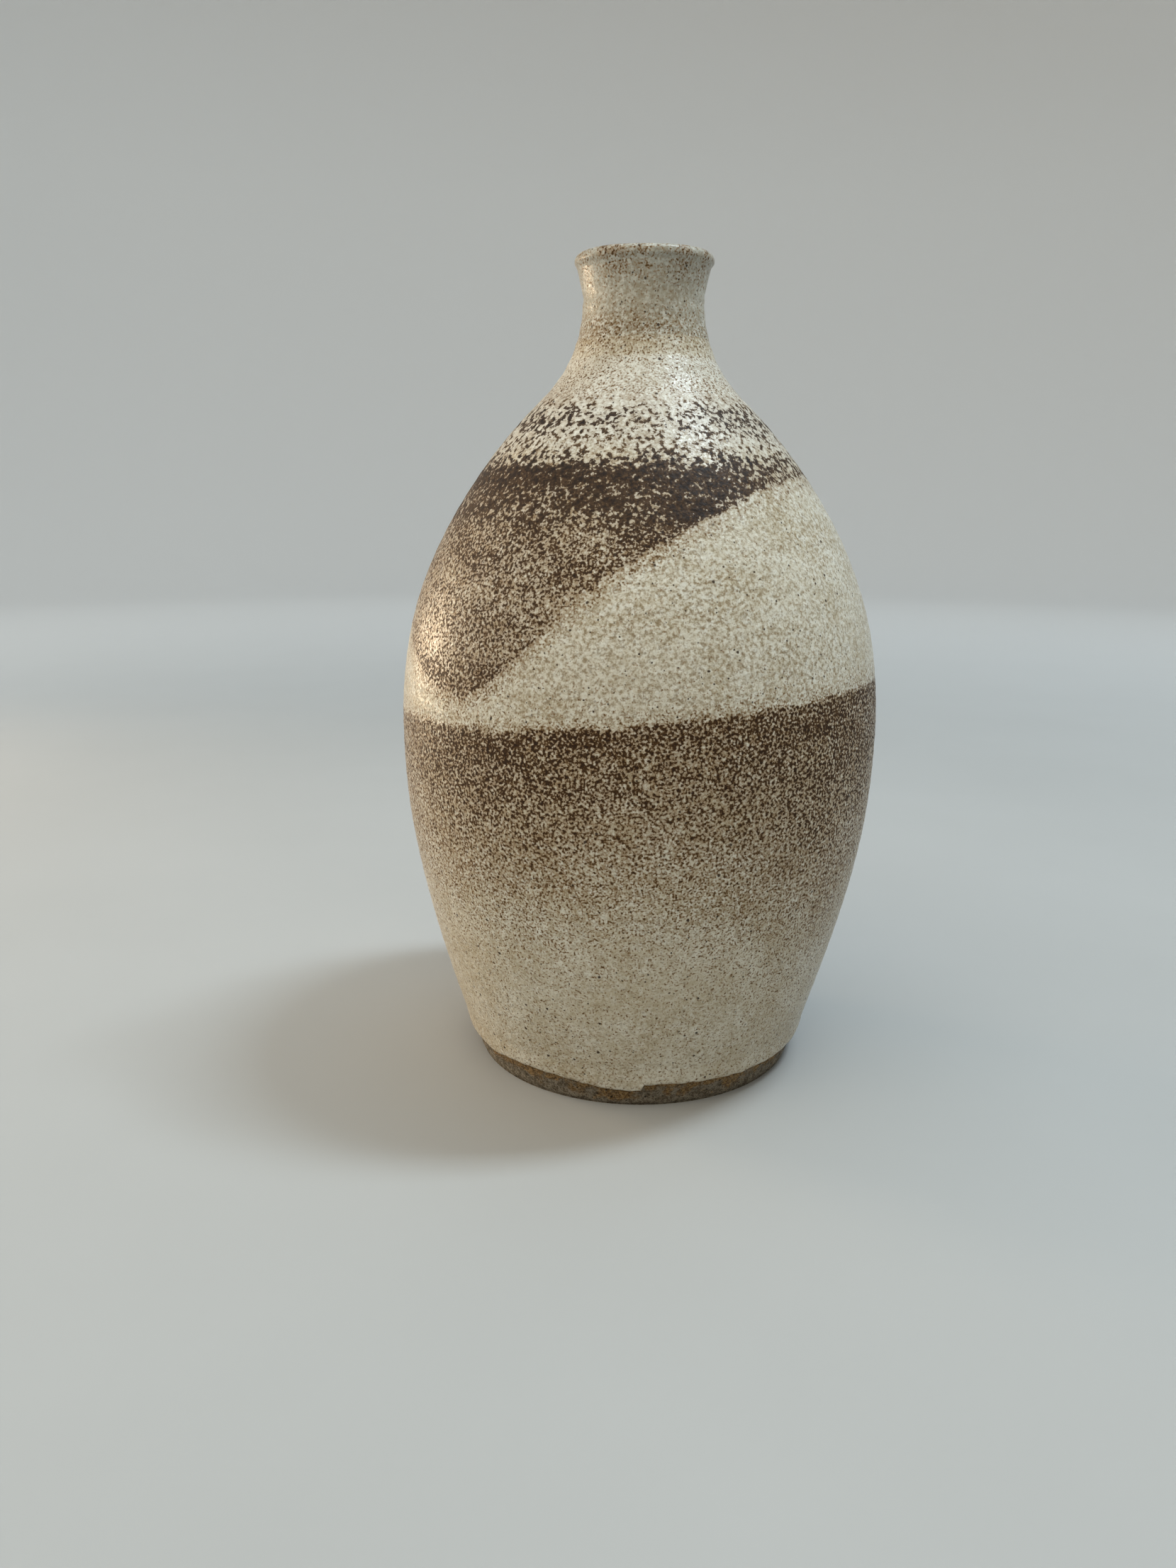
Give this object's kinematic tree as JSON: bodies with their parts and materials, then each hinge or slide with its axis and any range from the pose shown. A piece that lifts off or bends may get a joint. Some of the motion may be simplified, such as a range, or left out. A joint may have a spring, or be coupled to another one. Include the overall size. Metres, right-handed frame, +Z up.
{
  "type": "vase",
  "caption": "Free-standing stoneware bottle vase with a rounded belly, sloping shoulder and narrow flared neck, for stems or a narrow spray of flowers.",
  "frame": {"origin": "centre of the foot, on the plane that the vase stands on", "axes": "+Z up along the throwing axis; +X to the picture's right; -Y towards the side that the picture shows"},
  "size_m": [0.1452, 0.1452, 0.24],
  "materials": {
    "bare_clay": "matte, unglazed fired clay",
    "speckled_glaze": "satin cream glaze with iron speckle",
    "liner_glaze": "satin cream glaze"
  },
  "bodies": {
    "root": {"stoneware_body": "bare_clay", "outer_glaze": "speckled_glaze", "liner_glaze": "liner_glaze"}
  },
  "joints": []
}
